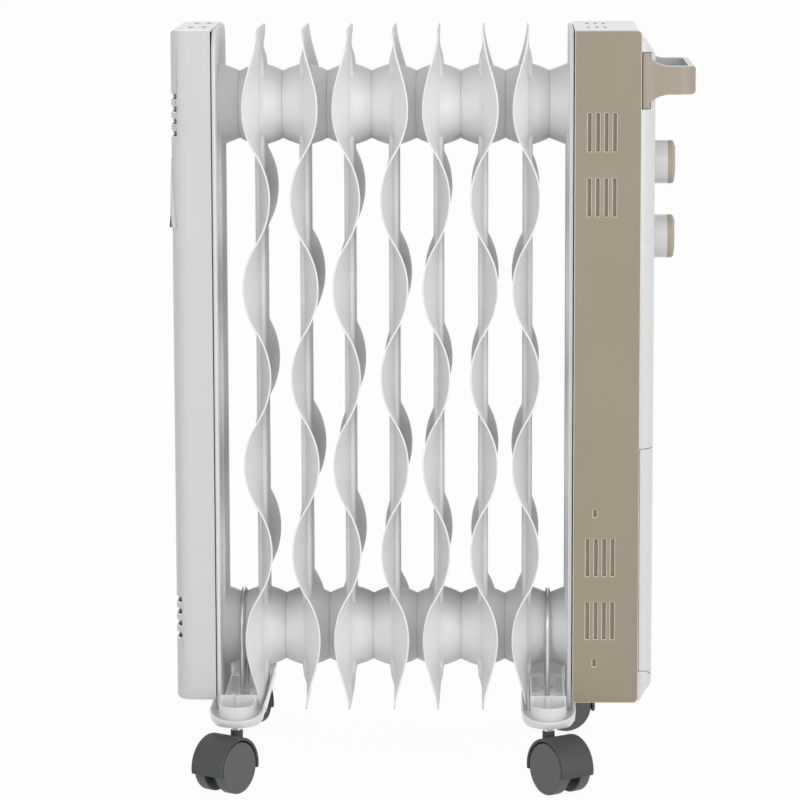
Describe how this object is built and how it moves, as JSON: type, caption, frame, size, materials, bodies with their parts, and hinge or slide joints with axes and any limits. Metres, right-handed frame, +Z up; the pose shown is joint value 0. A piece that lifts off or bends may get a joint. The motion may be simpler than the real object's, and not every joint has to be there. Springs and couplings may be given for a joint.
{
  "type": "oil filled radiator heater",
  "caption": "Free-standing oil filled radiator heater with wavy steel fins, an end cover, a control housing with loop handle, knobs and cord door, on feet with swivel casters.",
  "frame": {"origin": "on the floor under the middle of the heater's bounding box", "axes": "+X along the row of fins towards the control housing and its handle, +Y from the pictured side to the far side, +Z up"},
  "size_m": [0.4196, 0.2898, 0.6059],
  "materials": {
    "fin_paint": "satin powder coat",
    "cover_grey": "satin moulded",
    "white_plastic": "gloss moulded",
    "taupe_plastic": "satin moulded",
    "foot_white": "gloss moulded",
    "caster_grey": "satin moulded",
    "wheel_grey": "matt nylon",
    "black_plastic": "matt moulded",
    "steel": "zinc plated",
    "bright_steel": "bright nickel"
  },
  "bodies": {
    "heater": {"fin_1": "fin_paint", "fin_2": "fin_paint", "fin_3": "fin_paint", "fin_4": "fin_paint", "fin_5": "fin_paint", "fin_6": "fin_paint", "fin_7": "fin_paint", "end_fin_left": "fin_paint", "end_fin_right": "fin_paint", "heating_element": "steel", "element_flange": "steel", "oil_plug": "steel", "end_cover": "cover_grey", "cover_grip": "cover_grey", "cover_screws": "steel", "housing_frame": "white_plastic", "side_panel_front": "taupe_plastic", "side_panel_back": "taupe_plastic", "front_panel": "white_plastic", "cord_tray": "white_plastic", "door_hinge_pin": "steel", "bottom_cap": "white_plastic", "handle_shell": "taupe_plastic", "handle_liner": "white_plastic", "thermostat": "black_plastic", "power_switch": "black_plastic", "thermal_cutout": "black_plastic", "terminal_block": "black_plastic", "cord_gland": "black_plastic", "housing_screws": "steel", "foot_left": "foot_white", "foot_right": "foot_white", "u_bolts": "bright_steel", "wing_nuts": "bright_steel"},
    "thermostat_knob": {"thermostat_skirt": "white_plastic", "thermostat_cap": "taupe_plastic"},
    "power_knob": {"power_skirt": "white_plastic", "power_cap": "taupe_plastic"},
    "door": {"cord_door": "white_plastic"},
    "caster_front_left": {"hood_front_left": "caster_grey", "pins_front_left": "bright_steel"},
    "wheel_a_front_left": {"wheel_a_front_left": "wheel_grey"},
    "wheel_b_front_left": {"wheel_b_front_left": "wheel_grey"},
    "caster_front_right": {"hood_front_right": "caster_grey", "pins_front_right": "bright_steel"},
    "wheel_a_front_right": {"wheel_a_front_right": "wheel_grey"},
    "wheel_b_front_right": {"wheel_b_front_right": "wheel_grey"},
    "caster_back_left": {"hood_back_left": "caster_grey", "pins_back_left": "bright_steel"},
    "wheel_a_back_left": {"wheel_a_back_left": "wheel_grey"},
    "wheel_b_back_left": {"wheel_b_back_left": "wheel_grey"},
    "caster_back_right": {"hood_back_right": "caster_grey", "pins_back_right": "bright_steel"},
    "wheel_a_back_right": {"wheel_a_back_right": "wheel_grey"},
    "wheel_b_back_right": {"wheel_b_back_right": "wheel_grey"}
  },
  "joints": [
    {"name": "swivel_front_left", "type": "hinge", "parent": "heater", "child": "caster_front_left", "pos_m": [-0.15665, -0.103, 0.05], "axis": [0, 0, 1], "continuous": true},
    {"name": "spin_a_front_left", "type": "hinge", "parent": "caster_front_left", "child": "wheel_a_front_left", "pos_m": [-0.16532, -0.11585, 0.021], "axis": [0.829, -0.5592, 0], "continuous": true},
    {"name": "spin_b_front_left", "type": "hinge", "parent": "caster_front_left", "child": "wheel_b_front_left", "pos_m": [-0.16532, -0.11585, 0.021], "axis": [0.829, -0.5592, 0], "continuous": true},
    {"name": "swivel_front_right", "type": "hinge", "parent": "heater", "child": "caster_front_right", "pos_m": [0.09385, -0.103, 0.05], "axis": [0, 0, 1], "continuous": true},
    {"name": "spin_a_front_right", "type": "hinge", "parent": "caster_front_right", "child": "wheel_a_front_right", "pos_m": [0.10296, -0.11554, 0.021], "axis": [0.809, 0.5878, 0], "continuous": true},
    {"name": "spin_b_front_right", "type": "hinge", "parent": "caster_front_right", "child": "wheel_b_front_right", "pos_m": [0.10296, -0.11554, 0.021], "axis": [0.809, 0.5878, 0], "continuous": true},
    {"name": "swivel_back_left", "type": "hinge", "parent": "heater", "child": "caster_back_left", "pos_m": [-0.15665, 0.103, 0.05], "axis": [0, 0, 1], "continuous": true},
    {"name": "spin_a_back_left", "type": "hinge", "parent": "caster_back_left", "child": "wheel_a_back_left", "pos_m": [-0.16532, 0.11585, 0.021], "axis": [-0.829, -0.5592, 0], "continuous": true},
    {"name": "spin_b_back_left", "type": "hinge", "parent": "caster_back_left", "child": "wheel_b_back_left", "pos_m": [-0.16532, 0.11585, 0.021], "axis": [-0.829, -0.5592, 0], "continuous": true},
    {"name": "swivel_back_right", "type": "hinge", "parent": "heater", "child": "caster_back_right", "pos_m": [0.09385, 0.103, 0.05], "axis": [0, 0, 1], "continuous": true},
    {"name": "spin_a_back_right", "type": "hinge", "parent": "caster_back_right", "child": "wheel_a_back_right", "pos_m": [0.10912, 0.10569, 0.021], "axis": [-0.1736, 0.9848, 0], "continuous": true},
    {"name": "spin_b_back_right", "type": "hinge", "parent": "caster_back_right", "child": "wheel_b_back_right", "pos_m": [0.10912, 0.10569, 0.021], "axis": [-0.1736, 0.9848, 0], "continuous": true},
    {"name": "thermostat_turn", "type": "hinge", "parent": "heater", "child": "thermostat_knob", "pos_m": [0.1778, 0, 0.4957], "axis": [1, 0, 0], "range_deg": [-270, 0]},
    {"name": "power_turn", "type": "hinge", "parent": "heater", "child": "power_knob", "pos_m": [0.1778, 0, 0.4353], "axis": [1, 0, 0], "range_deg": [-135, 0]},
    {"name": "door_hinge", "type": "hinge", "parent": "heater", "child": "door", "pos_m": [0.1698, 0, 0.0791], "axis": [0, 1, 0], "range_deg": [0, 75]}
  ]
}
